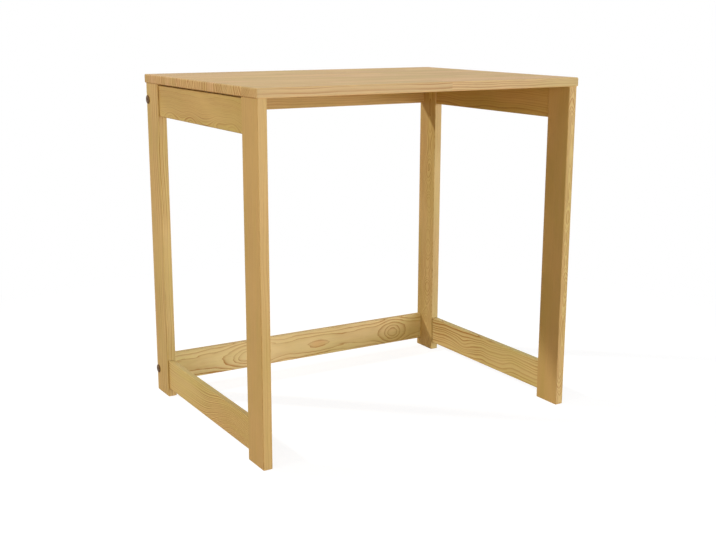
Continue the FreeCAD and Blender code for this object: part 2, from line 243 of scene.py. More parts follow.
# The lines that end the year rings
LINE_WIDTH = 4.5 * MM
LINE_SHARE = 0.6
LINE_DARKNESS = 0.75
LEAST_SLOPE = 0.02
FAINTEST_YEAR = 0.45
FAINTEST_PATCH = 0.4
YEAR_RATE = 1.7
YEAR_CHANGE = 0.22
RIPPLE = 0.4
SECOND_WANDER_RATE = 1.3
SECOND_WANDER_START = 31.7

# Noise in the wood: its rates per metre along the grain and square to it
RIPPLE_RATES = (14.0, 70.0, 70.0)
PATCH_RATES = (5.0, 13.0, 13.0)
STREAK_RATES = (1.6, 34.0, 34.0)
DRIFT_RATES = (4.0, 9.0, 9.0)
DRIFT_SHIFT = 0.65
FIBRE_RATES = (16.0, 640.0, 640.0)
CANAL_RATES = (42.0, 1100.0, 1100.0)

# The values between which each of these comes in
PATCH_FROM = (0.32, 0.62)
DARKENING_FROM = (0.2, 1.0)
BLUSH_FROM = (0.70, 0.95)
ROSY_FROM = (0.42, 0.62)
OLIVE_FROM = (0.36, 0.54)
CANAL_FROM = (0.70, 0.78)
FACE_FROM = (0.5, 0.9)

# How far each of these changes the wood's lightness, and end grain the contrast of the rings
DRIFT_CHANGE = 0.30
FIBRE_CHANGE = 0.12
CANAL_DARKER = 0.10
END_DARKER = 0.06
END_CONTRAST = 0.35

# Satin lacquer
PINE_SPECULAR = 0.12
LACQUER_ROUGHNESS = 0.47
FIBRE_ROUGHER = 0.10
LATE_SMOOTHER = 0.06
END_ROUGHER = 0.08
RELIEF_STRENGTH = 0.25
RELIEF_DEPTH = 0.15 * MM
LATE_RELIEF = 0.6
FIBRE_RELIEF = 0.4
CANAL_RELIEF = 0.5


@dataclass
class Cut:
    """How one board was sawn from its tree. Places are from the board's middle: along its grain,
    across its wide face and through its thickness.

    heart: where the tree's heart runs, across and through
    ring: how wide a year ring is
    lean: how far the heart moves across and through for each metre along
    wander, wander_rate: how far the heart strays, and how often to the metre
    swells: the bulges in the trunk
    start: the board's place along the grain, which sets it apart from the other boards
    contrast: how clearly the rings show
    calm: how much fainter they are on the wide faces
    ripple: how far noise shifts the rings, in rings
    tone: a tint of the whole board
    """

    heart: tuple
    ring: float = 3.4 * MM
    lean: tuple = (0.0, 0.0)
    wander: float = 4.0 * MM
    wander_rate: float = 4.0
    swells: tuple = ()
    start: float = 0.0
    contrast: float = 0.8
    calm: float = 0.0
    ripple: float = RIPPLE
    tone: tuple = (1.0, 1.0, 1.0)


@dataclass
class Swell:
    """A bulge in the trunk. Where the saw went through it, a negative rise shows as an eye and a
    positive one as arches, and without a rise the rings stay where they are. blush is how far its
    middle is reddened, and darker is how much darker the rings are round it, or paler below 0."""

    along: float
    across: float
    rise: float
    half_length: float
    half_width: float
    blush: float = 0.0
    darker: float = 0.0


def from_faintest(faintest, share):
    """A strength that goes from the faintest up to 1 with a share."""
    return share * (1 - faintest) + faintest


def swing(noise, change):
    """A factor about 1, which noise from 0 to 1 moves by a change in all."""
    return noise * change + (1 - change / 2)


def from_heart(wiring, point, heart, cut):
    """The distance from the tree's heart, and its slope along, across and through the board. The
    heart leans, and strays by noise along the grain."""
    along, across, through = point
    path = along + cut.start
    second_path = path * (SECOND_WANDER_RATE * cut.wander_rate) + SECOND_WANDER_START
    stray_across = (wiring.noise_along(path * cut.wander_rate) - 0.5) * (2 * cut.wander)
    stray_through = (wiring.noise_along(second_path) - 0.5) * (2 * cut.wander)
    out_across = across - heart[0] - along * cut.lean[0] - stray_across
    out_through = through - heart[1] - along * cut.lean[1] - stray_through
    radius = (out_across * out_across + out_through * out_through).sqrt()
    slope_across = out_across / radius
    slope_through = out_through / radius
    slope_along = 0 - slope_across * cut.lean[0] - slope_through * cut.lean[1]
    return radius, (slope_along, slope_across, slope_through)


def over_swells(point, radius, slope, swells):
    """The distance and its slopes with the swells added, and how far these redden and darken the
    wood. A swell is a bell: its rise times e to the power of minus the squares of the distances
    along and across it, counted in its half length and half width."""
    along, across, _ = point
    slope_along, slope_across, slope_through = slope
    blush = 0.0
    darker = 1.0
    for swell in swells:
        far_along = (along - swell.along) / swell.half_length
        far_across = (across - swell.across) / swell.half_width
        bell = (0 - far_along * far_along - far_across * far_across).exp()
        lift = bell * swell.rise
        radius = radius + lift
        slope_along = slope_along - lift * far_along * (2 / swell.half_length)
        slope_across = slope_across - lift * far_across * (2 / swell.half_width)
        blush = bell.rise(*BLUSH_FROM) * swell.blush + blush
        darker = bell * swell.darker + darker
    return radius, (slope_along, slope_across, slope_through), blush, darker


def year_rings(wiring, point, facing, heart, cut):
    """How dark the late wood is at a point, and how far a swell reddens it. Rings are counted by the
    distance from the heart. A ring darkens slowly and ends in a line. The line is as wide on a face
    that the rings cross at a slant as on one that they cross square on, because the distance to the
    ring's end is divided by the rings' slope along the face."""
    along, across, through = point
    radius, slope = from_heart(wiring, point, heart, cut)
    radius, slope, blush, darker = over_swells(point, radius, slope, cut.swells)
    in_tree = (along + cut.start, across, through)
    ripple = wiring.noise(in_tree, RIPPLE_RATES) - 0.5
    rings = (radius + ripple * (cut.ripple * cut.ring)) / cut.ring
    years = rings + (rings * YEAR_RATE + cut.start).sin() * YEAR_CHANGE
    season = years.fract()
    ahead = 1 - season
    into_face = wiring.dot(slope, facing)
    along_face = wiring.dot(slope, slope) - into_face * into_face + LEAST_SLOPE * LEAST_SLOPE
    steepness = along_face.at_least(0).sqrt()
    width = (ahead * (cut.ring / LINE_WIDTH) / steepness).at_least(ahead / LINE_SHARE)
    line = 1 - width.rise(0.0, 1.0)
    late = line * LINE_DARKNESS + season.rise(*DARKENING_FROM) * (1 - LINE_DARKNESS)
    year = wiring.chance(years.floor())[0]
    patch = wiring.noise(in_tree, PATCH_RATES).rise(*PATCH_FROM)
    strength = from_faintest(FAINTEST_YEAR, year) * from_faintest(FAINTEST_PATCH, patch) * darker
    quiet = 1 - abs(facing[2]).rise(*FACE_FROM) * cut.calm
    return late * strength * quiet, blush


def lacquered(wiring, point, late, blush, end, cut, tint, shade, rosy):
    """Puts the pine's colours and its satin lacquer on a material: late wood on early wood, which
    drifts between olive and rosy, with fine fibres and short dark resin canals."""
    along, across, through = point
    in_tree = (along + cut.start, across, through)
    shifted = (along + (cut.start + DRIFT_SHIFT), across, through)
    streak = wiring.noise(in_tree, STREAK_RATES, detail=3.0)
    drift = wiring.noise(shifted, DRIFT_RATES)
    hue = (streak + drift) * 0.5
    fibre = wiring.noise(in_tree, FIBRE_RATES)
    canal = wiring.noise(in_tree, CANAL_RATES, detail=0.0).rise(*CANAL_FROM)
    wood = wiring.mix(late * (end * END_CONTRAST + 1) * cut.contrast, EARLYWOOD, LATEWOOD)
    wood = wiring.mix(hue.rise(*ROSY_FROM) * rosy, wood, ROSY_TINT, "MULTIPLY")
    wood = wiring.mix((1 - hue.rise(*OLIVE_FROM)) * OLIVE_SHARE, wood, OLIVE_TINT, "MULTIPLY")
    wood = wiring.mix(blush, wood, BLUSH_TINT, "MULTIPLY")
    wood = wiring.mix(1.0, wood, (*tint, 1.0), "MULTIPLY")
    shade = shade * swing(drift, DRIFT_CHANGE) * swing(fibre, FIBRE_CHANGE)
    shade = shade * (1 - canal * CANAL_DARKER) * (1 - end * END_DARKER)
    roughness = fibre * FIBRE_ROUGHER + LACQUER_ROUGHNESS - late * LATE_SMOOTHER + end * END_ROUGHER
    relief = wiring.node("Bump", sockets={
        "Strength": RELIEF_STRENGTH,
        "Distance": RELIEF_DEPTH,
        "Height": late * LATE_RELIEF + fibre * FIBRE_RELIEF - canal * CANAL_RELIEF,
    })
    coat_on(wiring, {"Base Color": wiring.scaled(wood, shade), "Roughness": roughness, "Normal": relief})


def board_pine(node, grain, width, cut):
    """Pine for one board, on its own rings. grain and width are the axes of its length and of its
    wide face."""
    material, wiring = finish_named(node + "_pine", {"Specular IOR Level": PINE_SPECULAR})
    low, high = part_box(node)
    middle = (low + high) / 2
    thickness = X + Y + Z - grain - width
    order = (grain, width, thickness)
    place = wiring.place()
    facing = wiring.facing()
    point = [place[axis] - middle[axis] for axis in order]
    late, blush = year_rings(wiring, point, [facing[axis] for axis in order], cut.heart, cut)
    end = abs(facing[grain]).rise(*FACE_FROM)
    lacquered(wiring, point, late, blush, end, cut, cut.tone, 1.0, BOARD_ROSY)
    return material


# The table top's panel

STAVE_COUNT = 9
STAVE_LENGTH = 0.62
STAVE_APART = 40.0
STAVE_DARKEST = 0.95
STAVE_SHADES = 0.12
FIRST_JOINT = 0.048
JOINT_SPREAD = 0.618
FINGER_COUNT = 9
FINGER_LENGTH = 9 * MM
FINGER_SLANT = 0.25
GLUE_FROM = (0.14 * MM, 0.35 * MM)
GLUE_DARKER = 0.16
ROW_STEP = 7.0
TURN_STEP = 61.0
PANEL_SEED = 126.0
INNER_FROM = (0.1, 0.9)
SIDE_FROM = (0.45, 0.55)
HEART_NEAR = 55 * MM
HEART_FAR = 120 * MM
HEART_TILT = 0.75
HEART_TILT_SPREAD = 0.3
INNER_TILT = 0.4
INNER_RING = 1.5
PANEL_TONE = (1.03, 0.985, 1.09)
PANEL_CUT = Cut(heart=(0, 0), ring=3.4 * MM, wander=2.5 * MM, wander_rate=4.0, contrast=1.2)


def panel_pine():
    """Pine staves glued edge to edge, and end to end by finger joints. A stave's row comes from its
    place across the panel and its turn in the row from the joints, and both together draw its heart,
    shade and hue by chance. The heart lies above the stave, tilted to one side. In the rows behind
    the front one it is tilted farther and the rings are wider."""
    material, wiring = finish_named("panel_pine", {"Specular IOR Level": PINE_SPECULAR})
    low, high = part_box("table_top")
    middle = (low + high) / 2
    stave_width = (high.y - low.y) / STAVE_COUNT
    x, y, z = wiring.place()
    facing = wiring.facing()
    rows = (y - low.y) / stave_width
    row = rows.floor()
    in_row = rows - row
    finger = (abs((in_row * FINGER_COUNT).fract() - 0.5) * 2 - 0.5) * FINGER_LENGTH
    joint = (row * JOINT_SPREAD).fract() * STAVE_LENGTH + FIRST_JOINT
    turns = (x - joint - finger) / STAVE_LENGTH
    turn = turns.floor()
    in_turn = turns - turn
    first, second, third = wiring.chance(row * ROW_STEP + turn * TURN_STEP + PANEL_SEED)
    reach = second * (HEART_FAR - HEART_NEAR) + HEART_NEAR
    inner = row.rise(*INNER_FROM)
    side = first.rise(*SIDE_FROM) * 2 - 1
    tilt = side * (inner * INNER_TILT + third * HEART_TILT_SPREAD + HEART_TILT)
    heart = (tilt.sin() * reach, tilt.cos() * reach)
    cut = replace(PANEL_CUT, ring=(inner * INNER_RING + 1) * PANEL_CUT.ring)
    point = (x + third * STAVE_APART, (in_row - 0.5) * stave_width, z - middle.z)
    late, blush = year_rings(wiring, point, facing, heart, cut)
    edge_gap = (0.5 - abs(in_row - 0.5)) * stave_width
    end_gap = (0.5 - abs(in_turn - 0.5)) * (STAVE_LENGTH * FINGER_SLANT)
    glue = 1 - edge_gap.rise(*GLUE_FROM) * end_gap.rise(*GLUE_FROM)
    end = abs(facing[X]).rise(*FACE_FROM)
    shade = (second * STAVE_SHADES + STAVE_DARKEST) * (1 - glue * GLUE_DARKER)
    lacquered(wiring, point, late, blush, end, PANEL_CUT, PANEL_TONE, shade, third)
    return material


# How each board was cut

LEG_GRAIN = (Z, Y)
SIDE_RAIL_GRAIN = (Y, Z)
REAR_RAIL_GRAIN = (X, Z)

BOARDS = {
    "front_left_leg": (LEG_GRAIN, Cut(
        heart=(70 * MM, 75 * MM), start=3.1, contrast=0.4,
        tone=(0.86, 0.80, 0.70))),
    "rear_left_leg": (LEG_GRAIN, Cut(
        heart=(-50 * MM, 60 * MM), start=5.9, ring=4.4 * MM, wander=6 * MM, contrast=1.2,
        tone=(0.96, 0.95, 0.89))),
    "front_right_leg": (LEG_GRAIN, Cut(
        heart=(-54 * MM, 1 * MM), start=8.3, ring=1.4 * MM, wander=12 * MM, wander_rate=7.0,
        contrast=1.6, calm=0.7,
        tone=(0.93, 0.89, 0.81))),
    "rear_right_leg": (LEG_GRAIN, Cut(
        heart=(-12 * MM, 34 * MM), start=11.7, ring=1.7 * MM, wander=9 * MM, wander_rate=8.0,
        contrast=1.4,
        tone=(1.03, 1.03, 1.00))),
    "left_apron": (SIDE_RAIL_GRAIN, Cut(
        heart=(-34 * MM, 20 * MM), start=14.2, ring=1.7 * MM, wander=6 * MM, wander_rate=7.0,
        contrast=1.3,
        tone=(0.90, 0.89, 0.77))),
    "right_apron": (SIDE_RAIL_GRAIN, Cut(
        heart=(-50 * MM, 50 * MM), start=17.4, contrast=0.7,
        tone=(0.92, 0.88, 0.71))),
    "rear_apron": (REAR_RAIL_GRAIN, Cut(
        heart=(20 * MM, 55 * MM), start=20.8, contrast=0.8,
        tone=(1.00, 0.95, 0.86))),
    "left_lower_rail": (SIDE_RAIL_GRAIN, Cut(
        heart=(60 * MM, 60 * MM), start=23.5, ring=3.2 * MM, wander=3 * MM, contrast=2.0,
        tone=(1.03, 1.09, 1.01),
        swells=(
            Swell(-150 * MM, -40 * MM, 70 * MM, 100 * MM, 60 * MM, darker=1.2),
            Swell(140 * MM, 0 * MM, 0 * MM, 120 * MM, 80 * MM, darker=-0.85),
        ))),
    "right_lower_rail": (SIDE_RAIL_GRAIN, Cut(
        heart=(-62 * MM, 26 * MM), start=26.9, ring=6.4 * MM, lean=(-0.05, 0.0), wander=6 * MM,
        wander_rate=10.0, contrast=1.5,
        tone=(1.08, 1.18, 1.19),
        swells=(
            Swell(80 * MM, -6 * MM, 12 * MM, 36 * MM, 22 * MM),
            Swell(-120 * MM, 8 * MM, -5 * MM, 70 * MM, 18 * MM),
            Swell(-130 * MM, 0 * MM, 0 * MM, 110 * MM, 80 * MM, darker=-0.45),
            Swell(185 * MM, 0 * MM, 0 * MM, 80 * MM, 80 * MM, blush=0.2, darker=0.4),
        ))),
    "rear_lower_rail": (REAR_RAIL_GRAIN, Cut(
        heart=(-1.5 * MM, 100.5 * MM), start=29.6, ring=3.6 * MM, wander=1 * MM, wander_rate=8.0,
        contrast=1.6, ripple=0.9,
        tone=(1.16, 1.22, 1.25),
        swells=(
            Swell(282 * MM, -6.5 * MM, -13 * MM, 37 * MM, 36 * MM),
            Swell(50 * MM, -3 * MM, -3.5 * MM, 50 * MM, 22 * MM, blush=0.5),
            Swell(-160 * MM, -6 * MM, -13 * MM, 55 * MM, 36 * MM),
            Swell(-300 * MM, 0 * MM, 0 * MM, 90 * MM, 60 * MM, darker=0.8),
        ))),
}


# Beech of the dowels

BEECH_PALE = linear(214, 178, 140)
BEECH_DARK = linear(198, 158, 118)
BEECH_FLECK = linear(150, 106, 70)
CLOUD_RATES = (20.0, 90.0, 90.0)
CLOUD_FROM = (0.3, 0.7)
FLECK_RATES = (260.0, 1500.0, 1500.0)
FLECK_FROM = (0.58, 0.70)
FLECK_SHARE = 0.55
BEECH_SPECULAR = 0.3
BEECH_ROUGHNESS = 0.6
BEECH_ROUGHER = 0.1


def beech(name, grain):
    """Beech: pale and clouded, with short dark flecks along the grain."""
    material, wiring = finish_named(name, {"Specular IOR Level": BEECH_SPECULAR})
    across = list(wiring.place())
    along = across.pop(grain)
    point = (along, *across)
    fleck = wiring.noise(point, FLECK_RATES, detail=1.0).rise(*FLECK_FROM)
    cloud = wiring.noise(point, CLOUD_RATES)
    wood = wiring.mix(cloud.rise(*CLOUD_FROM), BEECH_PALE, BEECH_DARK)
    wood = wiring.mix(fleck * FLECK_SHARE, wood, BEECH_FLECK)
    roughness = cloud * BEECH_ROUGHER + BEECH_ROUGHNESS + fleck * BEECH_ROUGHER
    coat_on(wiring, {"Base Color": wood, "Roughness": roughness})
    return material


# Bronzed steel of the bolts

BRONZE_DARK = linear(84, 56, 18)
BRONZE_LIGHT = linear(102, 70, 26)
BRONZE_WORN = linear(132, 98, 50)
MOTTLE_RATES = (420.0, 420.0, 420.0)
MOTTLE_FROM = (0.35, 0.65)
WORN_RATES = (900.0, 900.0, 900.0)
WORN_FROM = (0.62, 0.75)
WORN_SHARE = 0.5
BRONZE_METALLIC = 0.9
BRONZE_ROUGHNESS = 0.36
MOTTLE_ROUGHER = 0.2
WORN_SMOOTHER = 0.06


def bronzed_steel():
    """Steel with a dark brown bronze finish, mottled, and a little barer in small worn spots."""
    material, wiring = finish_named("bronzed_steel", {"Metallic": BRONZE_METALLIC})
    point = wiring.place()
    mottle = wiring.noise(point, MOTTLE_RATES, detail=3.0)
    worn = wiring.noise(point, WORN_RATES).rise(*WORN_FROM)
    colour = wiring.mix(mottle.rise(*MOTTLE_FROM), BRONZE_DARK, BRONZE_LIGHT)
    colour = wiring.mix(worn * WORN_SHARE, colour, BRONZE_WORN)
    roughness = mottle * MOTTLE_ROUGHER + BRONZE_ROUGHNESS - worn * WORN_SMOOTHER
    coat_on(wiring, {"Base Color": colour, "Roughness": roughness})
    return material


# Plated steel of the nuts, brackets and screws

ZINC_DARK = linear(186, 188, 186)
ZINC_LIGHT = linear(206, 208, 210)
CRYSTAL_RATE = 700.0
DRAWN_LINE_RATES = (60.0, 60.0, 2600.0)
ZINC_ROUGHNESS = 0.24
CRYSTAL_ROUGHER = 0.10
DRAWN_LINE_ROUGHER = 0.12


def plated_steel():
    """Zinc-plated steel: bright, with faint crystal patches and fine drawing lines."""
    material, wiring = finish_named("plated_steel", {"Metallic": 1.0})
    sockets = {"Vector": wiring.coordinates(), "Scale": CRYSTAL_RATE}
    crystals = wiring.node("TexVoronoi", {"feature": "F1"}, sockets).other("Color")
    crystal = wiring.node("SeparateColor", sockets={"Color": crystals})
    line = wiring.noise(wiring.place(), DRAWN_LINE_RATES, detail=1.0)
    colour = wiring.mix(crystal, ZINC_DARK, ZINC_LIGHT)
    roughness = crystal * CRYSTAL_ROUGHER + line * DRAWN_LINE_ROUGHER + ZINC_ROUGHNESS
    coat_on(wiring, {"Base Color": colour, "Roughness": roughness})
    return material


# Turned pieces

TURN_COLUMNS = 48
TURN_ANGLES = np.arange(TURN_COLUMNS) * (2 * np.pi / TURN_COLUMNS)
THREAD_ROWS_PER_TURN = 10
THREAD_STEEPNESS = 1.5
HEAD_ARC_ROWS = 9
HEAD_FLAT_SHARE = 0.62
LEAST_SINE = 1e-6
SMOOTH_UP_TO = math.radians(32)


def turned(radii, heights):
    """A closed surface round the Z axis: row i is a loop at heights[i] whose column j lies
    radii[i, j] from the axis, at j shares of a full turn. A middle point closes each end. The faces
    come as arrays, one for the sides and one for each end."""
    rows, columns = radii.shape
    angle = np.arange(columns) * (2 * np.pi / columns)
    upright = np.broadcast_to(heights[:, None], radii.shape)
    loops = np.stack([radii * np.cos(angle), radii * np.sin(angle), upright], axis=-1)
    ends = np.array([[0, 0, heights[0]], [0, 0, heights[-1]]])
    points = np.concatenate([loops.reshape(-1, 3), ends])
    here = np.arange(rows * columns).reshape(rows, columns)
    beside = np.roll(here, -1, axis=1)
    sides = np.stack([here[:-1], beside[:-1], beside[1:], here[1:]], axis=-1).reshape(-1, 4)
    first = np.stack([np.full(columns, rows * columns), beside[0], here[0]], axis=-1)
    last = np.stack([np.full(columns, rows * columns + 1), here[-1], beside[-1]], axis=-1)
    return points, [sides, first, last]


def even_rows(radii, heights):
    """Round loops, each with one radius and one height."""
    return np.repeat(np.array(radii, float)[:, None], TURN_COLUMNS, axis=1), np.array(heights, float)


def thread_rows(start, end, crest, depth, pitch):
    """A screw thread: the radius falls from the crest by a clipped triangle wave of the height in
    pitches less the share of a turn. The thread fades in at its start and out at its end."""
    count = int((end - start) / pitch * THREAD_ROWS_PER_TURN)
    heights = np.linspace(start, end, count)
    share = np.arange(TURN_COLUMNS) / TURN_COLUMNS
    wave = np.abs(((heights[:, None] / pitch - share) % 1) * 2 - 1)
    groove = np.clip(wave * THREAD_STEEPNESS - (THREAD_STEEPNESS - 1) / 2, 0, 1)
    fade = np.clip(np.minimum(heights - start, end - heights) / pitch, 0, 1)
    return crest - depth * groove * fade[:, None], heights


def hexagon(across_flats):
    """The distance from the middle of a hexagon to its edge at each column: half its width over the
    cosine of the angle from the nearest flat's middle."""
    turn = (TURN_ANGLES + np.pi / 6) % (np.pi / 3) - np.pi / 6
    return across_flats / 2 / np.cos(turn)


def cross(half_arm, half_width):
    """The distance from the middle of a plain cross to its edge at each column: by the angle from
    the nearest arm, the lesser of the distances to the arm's end and to its side."""
    turn = (TURN_ANGLES + np.pi / 4) % (np.pi / 2) - np.pi / 4
    return np.minimum(half_arm / np.cos(turn), half_width / np.maximum(np.abs(np.sin(turn)), LEAST_SINE))


def head_rows(radius, underside, thickness, rounding):
    """A screw or bolt head: a flat underside, a short upright rim, a quarter round and a flat top.
    Along the round the radius lacks 1 - cos and the height 1 - sin of the rounding."""
    arc = np.linspace(0, np.pi / 2, HEAD_ARC_ROWS)
    top = underside + thickness
    round_radii = radius - rounding * (1 - np.cos(arc))
    round_heights = top - rounding * (1 - np.sin(arc))
    return even_rows([radius, *round_radii, radius * HEAD_FLAT_SHARE], [underside, *round_heights, top])


def stacked(*parts):
    """Loops of several parts, one after another."""
    radii, heights = zip(*parts)
    return np.concatenate(radii), np.concatenate(heights)


def stood(points, place, direction):
    """Points turned so that their Z axis runs along direction, and moved to place."""
    turn = np.array(Z_AXIS.rotation_difference(direction).to_matrix())
    return points @ turn.T + np.array(place)


def joined(pieces):
    """Several surfaces as one: all their points, and their arrays of faces with the numbers of the
    points moved on."""
    starts = np.cumsum([0] + [len(points) for points, _ in pieces])
    faces = [array + start for start, (_, arrays) in zip(starts, pieces) for array in arrays]
    return np.concatenate([points for points, _ in pieces]), faces


def add_piece(name, node, slot, material, points, faces):
    """A finished piece in place of a CAD node: at the origin, with its place in its mesh."""
    mesh = bpy.data.meshes.new(name)
    mesh.from_pydata(points.tolist(), [], sum((array.tolist() for array in faces), []))
    mesh.shade_smooth()
    mesh.set_sharp_from_angle(angle=SMOOTH_UP_TO)
    mesh.materials.append(material)
    piece = bpy.data.objects.new(name, mesh)
    bpy.context.scene.collection.objects.link(piece)
    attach(piece, "root")
    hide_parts(node)


# Bolts

BOLT_RADIUS = 3 * MM
BOLT_THREAD_LENGTH = 38 * MM
BOLT_PITCH = 1 * MM
BOLT_THREAD_DEPTH = 0.55 * MM
BOLT_TIP = 1 * MM
BOLT_HEAD_THICKNESS = 2.2 * MM
BOLT_HEAD_ROUNDING = 1.5 * MM
BOLT_SOCKET = 4 * MM
BOLT_SOCKET_DEPTH = 2.0 * MM
SOCKET_LEAD = 1.12
SOCKET_LEAD_DEPTH = 0.25 * MM


def bolt_surface(length, head_radius):
    """A furniture bolt from its tip up: a chamfered thread, a plain shank, a low head with a rounded
    rim, and a hexagon socket with a wider lead."""
    underside = length - BOLT_HEAD_THICKNESS
    socket = hexagon(BOLT_SOCKET)
    socket_rows = np.stack([socket * SOCKET_LEAD, socket, socket])
    socket_heights = length - np.array([0, SOCKET_LEAD_DEPTH, BOLT_SOCKET_DEPTH])
    parts = stacked(
        even_rows([BOLT_RADIUS - BOLT_TIP], [0]),
        thread_rows(BOLT_TIP, BOLT_THREAD_LENGTH, BOLT_RADIUS, BOLT_THREAD_DEPTH, BOLT_PITCH),
        even_rows([BOLT_RADIUS, BOLT_RADIUS], [BOLT_THREAD_LENGTH + BOLT_PITCH, underside]),
        head_rows(head_radius, underside, BOLT_HEAD_THICKNESS, BOLT_HEAD_ROUNDING),
        (socket_rows, socket_heights),
    )
    return turned(*parts)


def add_bolts(material):
    """The four bolts, from the boxes of their nodes: each head points away from the middle."""
    for level in ("upper", "lower"):
        for side, outward in (("left", -1), ("right", 1)):
            node = f"{level}_{side}_bolt"
            low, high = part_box(node)
            middle = (low + high) / 2
            tip = Vector((high.x if outward < 0 else low.x, middle.y, middle.z))
            points, faces = bolt_surface(high.x - low.x, (high.z - low.z) / 2)
            points = stood(points, tip, X_AXIS * outward)
            add_piece(f"{level}_{side}_threaded_bolt", node, "bronzed_steel", material, points, faces)


# Bracket screws

SCREW_RADIUS = 1.75 * MM
SCREW_LENGTH = 12 * MM
SCREW_PITCH = 1.4 * MM
SCREW_THREAD_DEPTH = 0.5 * MM
SCREW_THREAD_START = 0.25 * MM
SCREW_NECK = 0.5 * MM
SCREW_POINT = 3 * MM
SCREW_POINT_LEAST = 0.08
SCREW_HEAD_RADIUS = 3.5 * MM
SCREW_HEAD_THICKNESS = 2.2 * MM
SCREW_HEAD_ROUNDING = 1.6 * MM
RECESS_ARM = 1.7 * MM
RECESS_WIDTH = 0.45 * MM
RECESS_DEPTH = 1.4 * MM
RECESS_DEPTH_SHARES = np.array([0, 0.3, 1])
RECESS_WIDTH_SHARES = np.array([1, 0.9, 0.45])
BRACKET_THICKNESS = 2 * MM
BRACKET_HOLE = 12 * MM


def screw_surface():
    """A wood screw from its point up: a thread on a point that widens, a pan head and a cross
    recess, which narrows as it goes in."""
    thread_end = SCREW_LENGTH - SCREW_NECK
    thread = (SCREW_THREAD_START, thread_end, SCREW_RADIUS, SCREW_THREAD_DEPTH, SCREW_PITCH)
    radii, heights = thread_rows(*thread)
    taper = np.clip(heights / SCREW_POINT, SCREW_POINT_LEAST, 1)
    top = SCREW_LENGTH + SCREW_HEAD_THICKNESS
    recess_rows = RECESS_WIDTH_SHARES[:, None] * cross(RECESS_ARM, RECESS_WIDTH)
    parts = stacked(
        (radii * taper[:, None], heights),
        even_rows([SCREW_RADIUS], [SCREW_LENGTH]),
        head_rows(SCREW_HEAD_RADIUS, SCREW_LENGTH, SCREW_HEAD_THICKNESS, SCREW_HEAD_ROUNDING),
        (recess_rows, top - RECESS_DEPTH_SHARES * RECESS_DEPTH),
    )
    return turned(*parts)


def add_screws(material):
    """Two screws on each bracket, one into its rail and one up into the top."""
    towards_rail = {
        "left_bracket": -X_AXIS,
        "right_bracket": X_AXIS,
        "rear_left_bracket": Y_AXIS,
        "rear_right_bracket": Y_AXIS,
    }
    bite = SCREW_LENGTH - BRACKET_THICKNESS
    points, faces = screw_surface()
    for bracket, outward in towards_rail.items():
        low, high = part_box(bracket)
        middle = (low + high) / 2
        half = (high - low) / 2
        corner = middle + Vector((half.x * outward.x, half.y * outward.y, half.z))
        rail_tip = corner + outward * bite - Z_AXIS * BRACKET_HOLE
        top_tip = corner + Z_AXIS * bite - outward * BRACKET_HOLE
        rail_screw = (stood(points, rail_tip, -outward), faces)
        top_screw = (stood(points, top_tip, -Z_AXIS), faces)
        pair = joined([rail_screw, top_screw])
        add_piece(bracket + "_cross_screws", bracket + "_screws", "plated_steel", material, *pair)


# Dowels

DOWEL_LENGTH = 36 * MM
DOWEL_RADIUS = 3 * MM
TOP_DOWEL_LENGTH = 30 * MM
TOP_DOWEL_RADIUS = 4 * MM
DOWEL_CHAMFER = 0.8 * MM
FLUTE_COUNT = 16
FLUTE_DEPTH = 0.3 * MM
FLUTE_COLUMNS = 96


def dowel_surface(length, radius):
    """A fluted dowel: the radius dips by a clipped cosine of the angle, and the ends are chamfered."""
    angle = np.arange(FLUTE_COLUMNS) * (2 * np.pi / FLUTE_COLUMNS)
    flutes = radius - FLUTE_DEPTH * np.clip(np.cos(FLUTE_COUNT * angle), 0, 1)
    tip = np.full(FLUTE_COLUMNS, radius - DOWEL_CHAMFER)
    heights = np.array([0, DOWEL_CHAMFER, length / 2, length - DOWEL_CHAMFER, length])
    return turned(np.stack([tip, flutes, flutes, flutes, tip]), heights)


def ends_or_middle(first, last, least):
    """Two places, or the one between them where they lie closer together than least."""
    if last - first < least:
        return [(first + last) / 2]
    return [first, last]


def dowel_group(node, axis, length, radius):
    """The dowels of one node, in rows that fill its box: their middles lie a radius inside its sides,
    and along the axis the first ones start at its low end and the last ones finish at its high end."""
    low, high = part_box(node)
    direction = (X_AXIS, Y_AXIS, Z_AXIS)[axis]
    points, faces = dowel_surface(length, radius)
    spans = [ends_or_middle(low[i] + radius, high[i] - radius, radius) for i in range(3)]
    spans[axis] = ends_or_middle(low[axis], high[axis] - length, length)
    places = [(x, y, z) for x in spans[X] for y in spans[Y] for z in spans[Z]]
    return joined([(stood(points, place, direction), faces) for place in places])


def add_dowels(finishes):
    """Four dowels in each rail's ends and four in the leg tops."""
    for side, axis in (("left", Y), ("right", Y), ("rear", X)):
        for rail in ("apron", "lower_rail"):
            node = f"{side}_{rail}_dowels"
            group = dowel_group(node, axis, DOWEL_LENGTH, DOWEL_RADIUS)
            add_piece(f"{side}_{rail}_fluted_dowels", node, "dowel_beech", finishes[axis], *group)
    group = dowel_group("top_dowels", Z, TOP_DOWEL_LENGTH, TOP_DOWEL_RADIUS)
    add_piece("top_fluted_dowels", "top_dowels", "dowel_beech", finishes[Z], *group)


# Stage

FLOOR_SIZE = 14.0
FLOOR_BOUNCE = (0.64, 0.43, 0.20, 1.0)
FLOOR_SHADE = (0.30, 0.30, 0.30, 1.0)
FLOOR_GLOW = 0.86
FLOOR_FADE = (0.7, 1.5)
WORLD_LEVEL = 0.02
WHITE = (1.0, 1.0, 1.0, 1.0)
COOL = (0.90, 1.0, 1.20)
WARM = (1.03, 1.0, 0.92)
PLAIN = (1.0, 1.0, 1.0)

